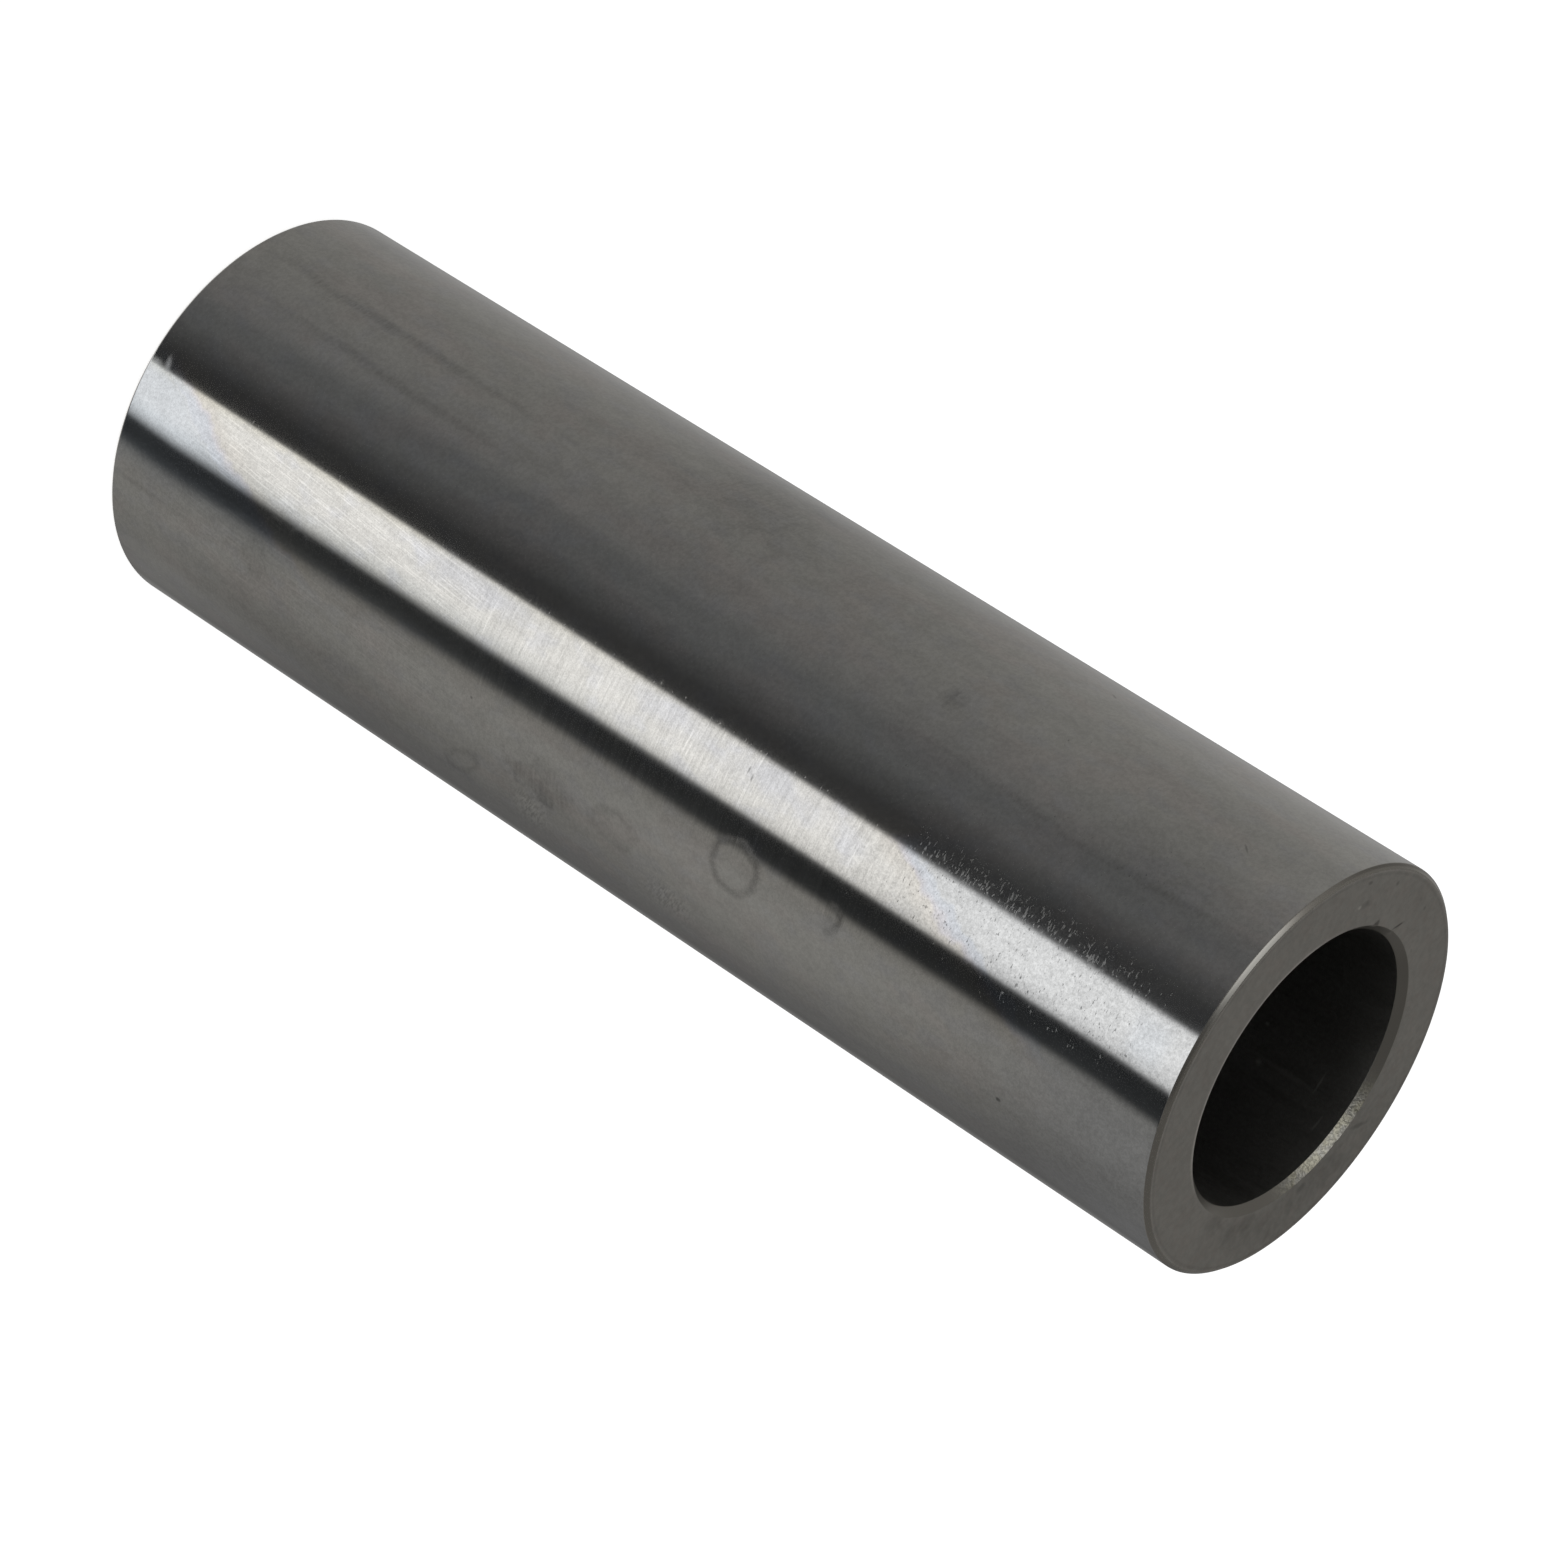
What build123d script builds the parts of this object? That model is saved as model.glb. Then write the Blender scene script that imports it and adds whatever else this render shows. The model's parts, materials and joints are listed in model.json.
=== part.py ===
"""Gudgeon pin: the hollow ground steel pin that joins a piston to its connecting rod.

One turned piece, modelled standing on its end. The origin is the centre of the lower
end's plane, +Z runs along the pin's axis, and sizes are in millimetres.
"""
from build123d import *
import os

# Ground bearing surface
outer_diameter = 20.0
length = 64.0

# Bore, open from end to end
bore_diameter = 13.5

# Breaks at 45 degrees: a fine one round each outer edge, a wider one into each bore mouth
outer_edge_break = 0.2
bore_mouth_break = 0.35

outer_radius = outer_diameter / 2
bore_radius = bore_diameter / 2


with BuildPart() as gudgeon_pin:
    # Half section of the wall, in the plane that holds the axis
    with BuildSketch(Plane.XZ) as wall_section:
        with BuildLine():
            Polyline(
                (bore_radius, bore_mouth_break),
                (bore_radius + bore_mouth_break, 0),
                (outer_radius - outer_edge_break, 0),
                (outer_radius, outer_edge_break),
                (outer_radius, length - outer_edge_break),
                (outer_radius - outer_edge_break, length),
                (bore_radius + bore_mouth_break, length),
                (bore_radius, length - bore_mouth_break),
                close=True,
            )
        make_face()
    revolve(axis=Axis.Z)

gudgeon_pin.part.label = "gudgeon_pin"

os.makedirs("parts", exist_ok=True)
export_step(gudgeon_pin.part, "parts/gudgeon_pin.step")
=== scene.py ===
"""Gudgeon pin, dressed: the hollow ground steel pin, its finishes, and the pale stage that it stands on.

The pin is a body of revolution, so Geometry Nodes turn it from its own half section. Its sizes come from
the frame. Places on it are given as a bearing, in degrees round the axis from the side that faces the
camera towards +X, and a height above the lower end, in millimetres.
"""
import json
import math
from typing import NamedTuple

import bmesh
import bpy
from bpy.props import FloatProperty, FloatVectorProperty, IntProperty, PointerProperty
from mathutils import Matrix, Vector


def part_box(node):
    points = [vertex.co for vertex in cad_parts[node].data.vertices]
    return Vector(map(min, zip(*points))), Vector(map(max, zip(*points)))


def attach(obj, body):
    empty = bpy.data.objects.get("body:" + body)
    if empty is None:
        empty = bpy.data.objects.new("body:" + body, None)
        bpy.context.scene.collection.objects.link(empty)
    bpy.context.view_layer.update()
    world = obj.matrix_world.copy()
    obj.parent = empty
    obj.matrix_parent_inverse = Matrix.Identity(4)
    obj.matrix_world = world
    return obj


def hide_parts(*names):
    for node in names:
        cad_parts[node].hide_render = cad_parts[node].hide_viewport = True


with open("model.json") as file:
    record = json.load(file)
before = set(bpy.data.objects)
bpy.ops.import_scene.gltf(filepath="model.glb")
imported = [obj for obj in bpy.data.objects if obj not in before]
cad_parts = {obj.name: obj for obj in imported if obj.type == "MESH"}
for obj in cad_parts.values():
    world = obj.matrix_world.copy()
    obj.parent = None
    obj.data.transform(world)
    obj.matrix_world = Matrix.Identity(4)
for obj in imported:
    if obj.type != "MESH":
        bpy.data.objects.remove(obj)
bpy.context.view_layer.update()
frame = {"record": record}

bl_info = {
    "name": "Gudgeon Pin",
    "version": (1, 0, 0),
    "blender": (4, 5, 0),
    "location": "View3D > Sidebar > Gudgeon Pin",
    "description": "Turns a ground steel gudgeon pin and stands it on a pale studio stage",
    "category": "Mesh",
}

MM = 0.001
NODE = "gudgeon_pin"

node_low, node_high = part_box(NODE)
mounts = {mount["name"]: mount["dims"] for mount in frame["record"]["mounts"]}

# Driving sizes of the pin as the frame gives them: two radii in millimetres, then all in metres
OUTER_MM = mounts["pin_surface"]["r_mm"]
BORE_MM = mounts["bore"]["r_mm"]
LENGTH = node_high[2] - node_low[2]
OUTER_RADIUS = OUTER_MM * MM
BORE_RADIUS = BORE_MM * MM
OUTER_BREAK = (LENGTH - mounts["pin_surface"]["length_mm"] * MM) / 2
BORE_BREAK = (LENGTH - mounts["bore"]["length_mm"] * MM) / 2


# Sizes and colours that a user would change

IN_METRES = {"unit": "LENGTH", "precision": 5}
AS_COLOUR = {"subtype": "COLOR", "min": 0, "max": 1}
AS_SHARE = {"subtype": "FACTOR", "min": 0, "max": 1}
AS_ANGLE = {"subtype": "ANGLE", "unit": "ROTATION"}


class PinSizes(bpy.types.PropertyGroup):
    """Sizes of the turned pin and the fineness of its mesh."""

    length: FloatProperty(
        name="Length", description="From end face to end face", default=LENGTH, **IN_METRES
    )
    outer_radius: FloatProperty(
        name="Outer Radius", description="Of the ground wall", default=OUTER_RADIUS, **IN_METRES
    )
    bore_radius: FloatProperty(
        name="Bore Radius", description="Of the open bore", default=BORE_RADIUS, **IN_METRES
    )
    outer_break: FloatProperty(
        name="Outer Break", description="Leg of the 45 degree break round each outer edge",
        default=OUTER_BREAK, **IN_METRES,
    )
    bore_break: FloatProperty(
        name="Bore Break", description="Leg of the 45 degree break in each bore mouth",
        default=BORE_BREAK, **IN_METRES,
    )
    bore_rounding: FloatProperty(
        name="Bore Edge Rounding", description="Radius that is left on the edges of each bore mouth",
        default=0.05 * MM, **IN_METRES,
    )
    outer_rounding: FloatProperty(
        name="Outer Edge Rounding", description="Radius that is left on the edges of each outer break",
        default=0.12 * MM, **IN_METRES,
    )
    facets: IntProperty(name="Facets", description="Facets round the pin", default=480, min=24)
    ring_spacing: FloatProperty(
        name="Ring Spacing", description="Widest step between the rings of an end face",
        default=0.12 * MM, **IN_METRES,
    )
    most_cuts: IntProperty(
        name="Most Cuts", description="Most cuts in one line of the section", default=20, min=1
    )


class SteelFinish(bpy.types.PropertyGroup):
    """Colours and gloss of the pin's four surfaces."""

    wall_colour: FloatVectorProperty(
        name="Wall", description="Ground and lapped steel of the outer wall",
        default=(0.500, 0.496, 0.481), **AS_COLOUR,
    )
    low_colour: FloatVectorProperty(
        name="Lower End", description="Bluish wall near the lower end, on the side that faces the camera",
        default=(0.478, 0.494, 0.510), **AS_COLOUR,
    )
    clean_colour: FloatVectorProperty(
        name="Clean Wall", description="Wall where no oxide tints it",
        default=(0.494, 0.498, 0.498), **AS_COLOUR,
    )
    end_colour: FloatVectorProperty(
        name="Ends", description="Ground steel of the end faces",
        default=(0.497, 0.483, 0.458), **AS_COLOUR,
    )
    break_colour: FloatVectorProperty(
        name="Breaks", description="Turned steel of the edge breaks",
        default=(0.512, 0.488, 0.450), **AS_COLOUR,
    )
    bore_colour: FloatVectorProperty(
        name="Bore", description="Dark heat-treated steel of the bore",
        default=(0.345, 0.342, 0.334), **AS_COLOUR,
    )
    wall_roughness: FloatProperty(
        name="Wall Roughness", description="Lapped wall", default=0.075, **AS_SHARE
    )
    end_roughness: FloatProperty(
        name="End Roughness", description="Ground ends", default=0.42, **AS_SHARE
    )
    break_roughness: FloatProperty(
        name="Break Roughness", description="Turned breaks round the outside", default=0.27, **AS_SHARE
    )
    bore_roughness: FloatProperty(
        name="Bore Roughness", description="Drawn bore", default=0.42, **AS_SHARE
    )


class StudioSettings(bpy.types.PropertyGroup):
    """The light table, the tent round it and the camera."""

    table_colour: FloatVectorProperty(
        name="Table", description="White acrylic of the light table", default=(0.80, 0.80, 0.80), **AS_COLOUR
    )
    table_glow: FloatProperty(
        name="Table Glow", description="Light that comes up through it", default=0.81, min=0
    )
    room_light: FloatProperty(name="Room Light", description="Soft light on the table", default=0.40, min=0)
    backdrop: FloatProperty(name="Backdrop", description="Brightness behind the table", default=1.05, min=0)
    tent_light: FloatProperty(
        name="Tent Light", description="Brightness of the tent's strip light", default=1.41, min=0
    )
    overhead_light: FloatProperty(
        name="Overhead Light", description="Brightness of the soft light above", default=0.80, min=0
    )
    camera_elevation: FloatProperty(
        name="Elevation", description="Of the camera above the table",
        default=math.radians(30.2), **AS_ANGLE,
    )
    camera_roll: FloatProperty(
        name="Roll", description="Of the camera, which lays the pin across the picture",
        default=math.radians(122.82), **AS_ANGLE,
    )
    camera_distance: FloatProperty(
        name="Distance", description="From the camera to its aim", default=277.0 * MM, **IN_METRES
    )
    camera_aim: FloatVectorProperty(
        name="Aim", description="Point that the camera looks at",
        default=(1.47 * MM, 0, 34.2 * MM), subtype="XYZ",
    )
    lens: FloatProperty(name="Lens", description="Focal length", default=144.25, unit="CAMERA")


# Short calls that add and join nodes, for shaders and for geometry alike


class Graph:
    """A node tree, with one short call for each kind of step that the finishes are made of."""

    def __init__(self, tree):
        self.tree = tree

    def add(self, kind, feeds=None, **settings):
        """A node with its settings, its inputs fed by sockets or by plain values."""
        node = self.tree.nodes.new(kind)
        for name, value in settings.items():
            setattr(node, name, value)
        for key, value in (feeds or {}).items():
            self.feed(node.inputs[key], value)
        return node

    def geometry(self, kind, feeds=None, **settings):
        """What a geometry node puts out first."""
        return self.add(f"GeometryNode{kind}", feeds, **settings).outputs[0]

    def feed(self, socket, value):
        if isinstance(value, bpy.types.NodeSocket):
            self.tree.links.new(value, socket)
        else:
            socket.default_value = opaque(value) if socket.type == "RGBA" else value

    def maths(self, operation, *values):
        return self.add("ShaderNodeMath", dict(enumerate(values)), operation=operation).outputs[0]

    def times(self, first, second):
        return self.maths("MULTIPLY", first, second)

    def plus(self, first, second):
        return self.maths("ADD", first, second)

    def minus(self, first, second):
        return self.maths("SUBTRACT", first, second)

    def times_plus(self, value, factor, rest):
        return self.maths("MULTIPLY_ADD", value, factor, rest)

    def larger(self, first, second):
        return self.maths("MAXIMUM", first, second)

    def apart(self, first, second):
        """How far two values are from each other, whichever is the larger."""
        return self.maths("ABSOLUTE", self.minus(first, second))

    def gathered(self, total, *layers):
        """A total with each layer's mask added to it at that layer's strength."""
        for mask, strength in layers:
            total = self.times_plus(mask, strength, total)
        return total

    def vector(self, operation, *values):
        node = self.add("ShaderNodeVectorMath", dict(enumerate(values)), operation=operation)
        return node.outputs["Value" if operation in ("LENGTH", "DISTANCE", "DOT_PRODUCT") else "Vector"]

    def scaled(self, vector, factor):
        node = self.add("ShaderNodeVectorMath", {0: vector, "Scale": factor}, operation="SCALE")
        return node.outputs["Vector"]

    def split(self, vector):
        return self.add("ShaderNodeSeparateXYZ", {0: vector}).outputs[:3]

    def joined(self, x, y, z=0.0):
        return self.add("ShaderNodeCombineXYZ", {0: x, 1: y, 2: z}).outputs[0]

    def between(self, value, low, high, at_low=0.0, at_high=1.0, smooth=True):
        """value taken from low..high to at_low..at_high, level outside that span."""
        feeds = {"Value": value, "From Min": low, "From Max": high, "To Min": at_low, "To Max": at_high}
        steps = "SMOOTHSTEP" if smooth else "LINEAR"
        return self.add("ShaderNodeMapRange", feeds, interpolation_type=steps, clamp=True).outputs["Result"]

    def mixed(self, factor, first, second, kind="RGBA", blend="MIX"):
        """Two colours mixed, or two numbers, by the three inputs that the node enables for that kind."""
        node = self.add("ShaderNodeMix", data_type=kind, blend_type=blend)
        factor_socket, first_socket, second_socket = (socket for socket in node.inputs if socket.enabled)
        self.feed(factor_socket, factor)
        self.feed(first_socket, first)
        self.feed(second_socket, second)
        return next(socket for socket in node.outputs if socket.enabled)

    def ramp(self, value, stops):
        """Colour by a value from 0 to 1, changing straight from each (position, colour) to the next."""
        node = self.add("ShaderNodeValToRGB", {"Fac": value})
        elements = node.color_ramp.elements
        while len(elements) < len(stops):
            elements.new(1.0)
        for element, (position, tint) in zip(elements, stops):
            element.position = position
            element.color = opaque(tint)
        return node.outputs["Color"]

    def group(self, name, feeds=None):
        return self.add("ShaderNodeGroup", feeds, node_tree=bpy.data.node_groups[name])


def opaque(tint):
    """The three channels of a colour with full cover."""
    return (*tint[:3], 1.0)


def by_label(source, fields):
    """What an object's fields hold, by the labels of the sockets that take them."""
    return {field.replace("_", " ").title(): getattr(source, field) for field in fields}


NUMBER = "NodeSocketFloat"
VECTOR = "NodeSocketVector"
SHAPE = "NodeSocketGeometry"
MATERIAL = "NodeSocketMaterial"
KIND_OF_DEFAULT = {float: NUMBER, int: "NodeSocketInt", tuple: VECTOR}


def new_tree(name, inputs, outputs, kind="ShaderNodeTree"):
    """A node tree with named inputs and outputs, as (graph, the inputs to take, the outputs to feed).

    An input is given by its default, which tells its kind, or by its kind alone where it has no default.
    """
    tree = bpy.data.node_groups.new(name, kind)
    for label, default in inputs.items():
        socket_type = KIND_OF_DEFAULT.get(type(default), default)
        socket = tree.interface.new_socket(label, in_out="INPUT", socket_type=socket_type)
        if socket_type != default:
            socket.default_value = default
    for label, socket_type in outputs.items():
        tree.interface.new_socket(label, in_out="OUTPUT", socket_type=socket_type)
    graph = Graph(tree)
    return graph, graph.add("NodeGroupInput").outputs, graph.add("NodeGroupOutput").inputs


# Marks and fields on the surfaces


class Mark(NamedTuple):
    """A mark on the pin: its place, its half sizes in millimetres and the share of the light that it takes.

    Then how far its outline wobbles and how soft its rim is, both as shares of its half sizes, how far it
    leans round the pin for each millimetre along it, and whether its ring is open above (1) or below (-1).
    """

    at_bearing: float
    at_height: float
    half_round: float
    half_along: float
    strength: float
    wobble: float = 0.4
    softness: float = 0.3
    lean: float = 0.0
    open_along: float = 0.0


def marks(*rows, **shared):
    """Marks from rows of their values, and from those that they share."""
    return tuple(Mark(*row, **shared) for row in rows)


# What the mark's node group takes from a mark
MARK_INPUTS = [field for field in Mark._fields if field != "strength"]
# Half length, in millimetres, past which a mark sways as it runs along the pin
LONG_MARK = 5

# Rims of dried oil drops
WALL_RINGS = marks(
    (35.5, 39.9, 1.28, 1.22, 0.26, 0.5, 0.3),
    (32.5, 45.4, 0.58, 0.55, 0.2, 0.9, 0.6, 0.0, -1.0),
    (47.2, 32.9, 0.8, 1.2, 0.11, 1.2, 0.45),
    (59.3, 23.3, 0.7, 1.05, 0.15, 1.0, 0.42, -0.55),
    (37.6, 9.7, 0.75, 0.7, 0.03, 1.2, 0.45),
    (25.2, 12.0, 0.5, 0.5, 0.04, 0.6, 0.35),
    (25.9, 10.4, 0.42, 0.46, 0.04, 0.6, 0.35),
)
# Blots and wiped smears, then long faint lines, darker or lighter, that run along the pin
WALL_BLOTS = marks(
    (48.5, 28.4, 0.95, 2.1, 0.13, 2.6, 0.35),
    (50.5, 28.0, 0.75, 1.5, 0.08, 3.0, 0.35),
    (46.5, 33.0, 0.8, 1.0, 0.06, 2.4, 0.5),
    (32.2, 45.7, 0.4, 0.5, 0.12, 1.6, 0.6),
    (18.0, 46.3, 0.42, 0.42, 0.09, 1.6, 0.6),
    (37.6, 9.7, 0.8, 0.8, 0.1, 2.0, 0.6),
    (-32.5, 44.7, 0.56, 0.56, 0.18, 1.2, 0.45),
    (-58.0, 29.5, 2.6, 3.0, 0.11, 2.2, 0.7),
    (-30.0, 30.0, 1.5, 3.4, 0.06, 2.2, 0.7),
    (-76.0, 1.0, 1.6, 3.0, 0.14, 2.0, 0.8),
    (58.0, 6.0, 0.5, 6.5, 0.1, 1.6, 0.9),
    (-18.5, 56.5, 0.17, 10.0, 0.12, 1.2, 0.8),
    (-19.2, 11.0, 0.58, 12.0, -0.07, 1.0, 0.6, -0.045),
    (-24.7, 10.5, 0.22, 6.5, 0.13, 1.0, 0.8),
    (-32.0, 10.0, 0.5, 9.5, -0.05, 1.6, 0.7),
    (-38.3, 9.0, 0.24, 8.0, 0.18, 1.0, 0.8),
    (38.8, 2.6, 0.14, 2.2, 0.1, 1.2, 0.8, 0.05),
)
# Broad, soft tones: partly the steel's own, partly painted shade and painted light on the wall
WALL_TONES_AND_PAINTED_SHADES = marks(
    (50.0, 62.0, 4.5, 8.0, 0.12),
    (54.0, 43.0, 4.5, 8.0, -0.09),
    (74.0, 2.0, 2.4, 7.5, -0.55),
    (53.5, 12.0, 1.6, 5.0, 0.11),
    (63.0, 18.5, 1.4, 5.5, 0.09),
    (53.0, 38.5, 1.6, 5.5, -0.08),
    (36.0, 7.0, 1.6, 9.0, 0.08),
    (-66.0, 62.0, 6.0, 14.0, -0.23),
    (-22.0, 57.5, 1.8, 2.8, 0.09),
    (-42.0, 58.0, 2.6, 4.5, 0.1),
    (75.5, 63.5, 1.8, 4.0, -0.42),
    (-22.0, 4.0, 1.8, 7.0, -0.05),
    (-62.0, 4.0, 5.0, 12.0, -0.06),
    (-18.5, 58.5, 1.4, 7.5, 0.08),
    (-8.0, 58.0, 1.3, 7.0, -0.08),
    (-60.0, 32.0, 2.6, 6.5, 0.07),
    (26.5, 47.0, 0.45, 6.0, 0.16),
    (14.0, 49.5, 1.4, 3.6, 0.06),
    (18.0, 31.0, 0.9, 5.5, -0.05),
    (10.0, 22.0, 0.7, 3.8, 0.08),
    (18.5, 1.5, 0.5, 2.0, -0.1),
    (18.0, 6.0, 0.7, 1.6, 0.06),
    (76.5, 1.0, 1.2, 3.0, -0.34),
    (26.5, 61.0, 0.45, 5.0, -0.16),
    (25.0, 1.5, 0.9, 3.0, -0.12),
    softness=1.0,
)
# Where the straw oxide turns lilac
LILAC_MARKS = marks(
    (9.0, 21.5, 0.7, 3.2, 0.9, 1.6, 0.6),
    (10.0, 40.2, 0.55, 1.4, 0.8, 1.6, 0.6),
    (9.5, 33.8, 0.5, 1.8, 0.6, 1.6, 0.6),
    (13.0, 45.0, 0.6, 0.9, 0.5, 1.6, 0.6),
    (10.5, 40.0, 0.7, 7.0, 0.35, 1.6, 0.8),
)
WALL_PITS = marks(
    (52.3, 55.7, 0.1, 0.12, 0.55, 0.4, 0.5),
    (36.4, 23.8, 0.06, 0.06, 0.4, 0.4, 0.6),
    (-41.0, 59.8, 0.06, 0.2, 0.35, 0.4, 0.6, 0.8),
    (-67.8, 48.7, 0.07, 0.16, 0.35, 0.4, 0.6, 0.6),
    (12.4, 39.2, 0.15, 0.05, 0.5, 0.4, 0.7, 0.6),
    (11.0, 38.9, 0.16, 0.05, 0.45, 0.4, 0.7, -0.4),
)
# Rough places that show pale where the wall mirrors the dark: a burr on the lower rim
WALL_BURRS = marks(
    (3.6, 1.15, 0.28, 0.17, 0.2, 0.4, 1.0, 0.9),
    (5.0, 0.45, 0.13, 0.38, 0.1, 0.8, 0.9),
    (4.5, 32.9, 0.14, 0.08, 0.08, 1.0, 0.9),
    (4.9, 36.5, 0.1, 0.16, 0.04, 1.0, 0.9),
)
# On the upper end the height is the distance from the axis
END_MARKS = marks(
    (-61.4, 9.32, 0.16, 0.1, 0.36, 1.0, 0.6),
    (-60.3, 8.14, 0.1, 0.09, -0.5, 1.0, 0.6),
    (-63.0, 8.25, 0.3, 0.16, 0.22, 2.0, 0.7),
    (-76.0, 9.14, 0.1, 0.1, 0.28, 1.0, 0.6),
    (-90.9, 7.42, 0.09, 0.25, 0.62, 0.6, 0.6, -1.0),
    (-99.4, 8.84, 0.1, 0.1, 0.22, 1.0, 0.6),
    (-94.1, 8.95, 0.14, 0.12, 0.12, 1.6, 0.7),
    (-111.0, 7.4, 0.12, 0.09, 0.14, 1.6, 0.7),
    (146.7, 7.65, 0.26, 0.16, 0.24, 2.4, 0.7),
    (-75.9, 7.2, 0.14, 0.16, 0.45, 1.0, 0.6),
    (175.7, 7.9, 0.14, 0.55, 0.22, 1.6, 0.7, 0.7),
    (160.0, 7.9, 1.3, 0.9, 0.13, 2.6, 0.7),
    (118.0, 7.7, 1.4, 0.7, 0.17, 3.0, 0.6),
    (96.0, 7.35, 0.6, 0.45, 0.14, 2.4, 0.7),
    (152.0, 8.5, 6.0, 2.2, 0.14, 1.0, 0.8),
    (132.0, 9.1, 0.22, 0.3, 0.1, 2.4, 0.7),
    (141.0, 8.3, 0.2, 0.34, 0.13, 2.4, 0.7),
)
# Rings round the ends: distance from the axis, half width, the share of the light that they take
# The inner ring is darker; the outer one gives light, a painted highlight along the edge of the break
END_RING_AND_GLINT = ((9.6, 0.11, 0.1), (9.74, 0.06, -0.14))
# Lit part of the bore's mouth: painted highlight and painted yellow tint, uneven with the tool's chatter
LIT_MOUTH = marks((163.0, 7.0, 3.2, 5.0, 1.0, 0.0, 0.3))
# Pale scratches and spots a little way down the bore
BORE_MARKS = marks(
    (-179.6, 61.9, 0.4, 0.05, -0.75, 0.6, 0.8),
    (167.6, 62.9, 0.3, 0.05, -0.65, 0.6, 0.8),
    (175.0, 58.9, 0.12, 0.14, -0.9, 0.4, 0.7),
    (-171.3, 58.3, 0.08, 0.1, -0.7, 0.4, 0.7),
    (177.0, 60.2, 0.12, 1.4, -0.4, 1.0, 0.8),
)


class Field(NamedTuple):
    """A part of the pin between two bearings and two heights, each pair with how far its borders fade."""

    bearings: tuple
    fade_round: float
    heights: tuple = (-9, 99)
    fade_along: float = 1


# Where the oxide stays straw to both ends, and where the near end of the light band is blue
STRAW_FRONT = Field((2, 33), 5)
BLUED_END = Field((9, 19), 3, (61.0, 62.7), 0.5)
# Where the strip light shows in the wall, and where the grinding lines, ripples and hairs are seen
LIGHT_BAND = Field((4, 24), 4)
GROUND_LINES = Field((4, 32), 3, (22, 48), 4)
RIPPLED = (Field((56, 64), 4, (35.2, 37.2), 1.0), Field((55, 66), 4, (26.9, 28.4), 1.0))
HAIRS = Field((5, 48), 4, (4, 23), 3)
BAND_HAIRS = Field((6, 22), 4, (5, 23), 3)
PEELED = Field((4, 24), 4, (44, 66), 5)
# Where the fine pits are, with the most of them that each field has
THICK_PITS = Field((-2, 6.5), 2.5, (48.5, 60), 2.0)
PITTED = (
    (THICK_PITS, 0.60),
    (Field((-3, 22), 2, (47, 62.0), 1.4), 0.52),
    (Field((-45, 30), 6, (44, 62), 5), 0.32),
    (Field((4.6, 6.6), 0.8, (4, 50), 2), 0.50),
)
CLUMPED_PITS = Field((22, 28), 2, (51, 62.5), 2)
THICKEST_PITS = Field((2, 6.5), 1.5, (48, 60.5), 1.5)
# On the ends and the breaks
# Where a painted highlight lines the inner edge of an end
LIT_INNER_EDGE = Field((-45, 62), 15, (0, 99), 1)
# Where painted shade darkens the break: a line by the wall in front and on the far side
FRONT_BREAK = Field((0, 23), 4, (0, 99), 1)
FAR_BREAK = Field((-125, -50), 12, (0, 99), 1)
# Where the outer break's highlight is painted silvery and shaded towards the end face
BREAK_HIGHLIGHT = Field((-27, 6), 6, (0, 99), 1)

# Distances from the axis, in millimetres: the middle of an end and of a mouth, the inner edge of an end, the
# span where the mouth's break gives way to the outer one, and the two sides of the outer break
END_MIDDLE, MOUTH_MIDDLE = 8.4, 7.0
INNER_EDGE = (7.10, 7.30)
PAST_MOUTH = (8.0, 8.5)
WALL_SIDE = (9.86, 9.93)
FACE_SIDE = (9.89, 9.98)

# How far round the wall the grinding lines and the ripples climb, and the hairs drift, for each step
GRINDING_SLANT, RIPPLE_SLANT, HAIR_SLANT = 0.03, 0.50, -0.09

# Tints of the oxide, the ends' brown clouds, and the painted tints of the highlights on the breaks
FRONT_STRAW = (0.506, 0.496, 0.472)
BROWN_STRAW = (0.511, 0.493, 0.479)
LILAC = (0.486, 0.485, 0.493)
BLUE_GREY = (0.493, 0.499, 0.510)
OXIDE_FRINGE = (
    (0.17, (0.472, 0.489, 0.516)),
    (0.28, (0.474, 0.486, 0.514)),
    (0.37, (0.496, 0.483, 0.498)),
    (0.46, (0.513, 0.493, 0.460)),
    (0.70, (0.508, 0.496, 0.468)),
    (1.0, FRONT_STRAW),
)
BROWN_END = (0.500, 0.473, 0.446)
BREAK_HIGHLIGHT_TINT = (0.504, 0.492, 0.460)
MOUTH_HIGHLIGHT_TINT = (0.506, 0.497, 0.456)
YELLOW_HIGHLIGHT_TINT = (0.548, 0.530, 0.438)


# Shader effects that several finishes share


def effect_places():
    """Where a point of the pin lies: in millimetres, round the axis and along it."""
    graph, given, result = new_tree(
        "Places on the pin",
        {"Point": (0, 0, 0)},
        {
            "Millimetres": VECTOR, "Bearing": NUMBER, "Height": NUMBER, "Radius": NUMBER,
            "Waver": NUMBER, "Sway": NUMBER,
        },
    )
    millimetres = graph.scaled(given["Point"], 1 / MM)
    x, y, z = graph.split(millimetres)
    turn = graph.maths("ARCTAN2", x, graph.times(y, -1))
    waver = graph.add("ShaderNodeTexNoise", {"Vector": millimetres, "Scale": 0.9, "Detail": 3.0}).outputs[0]
    slowly = graph.vector("MULTIPLY", millimetres, (0.15, 0.15, 0.22))
    sway = graph.add("ShaderNodeTexNoise", {"Vector": slowly, "Scale": 1.0, "Detail": 2.0}).outputs[0]
    graph.feed(result["Millimetres"], millimetres)
    graph.feed(result["Bearing"], graph.maths("DEGREES", turn))
    graph.feed(result["Height"], z)
    graph.feed(result["Radius"], graph.vector("LENGTH", graph.joined(x, y)))
    graph.feed(result["Waver"], graph.minus(waver, 0.5))
    graph.feed(result["Sway"], graph.minus(sway, 0.5))


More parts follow.
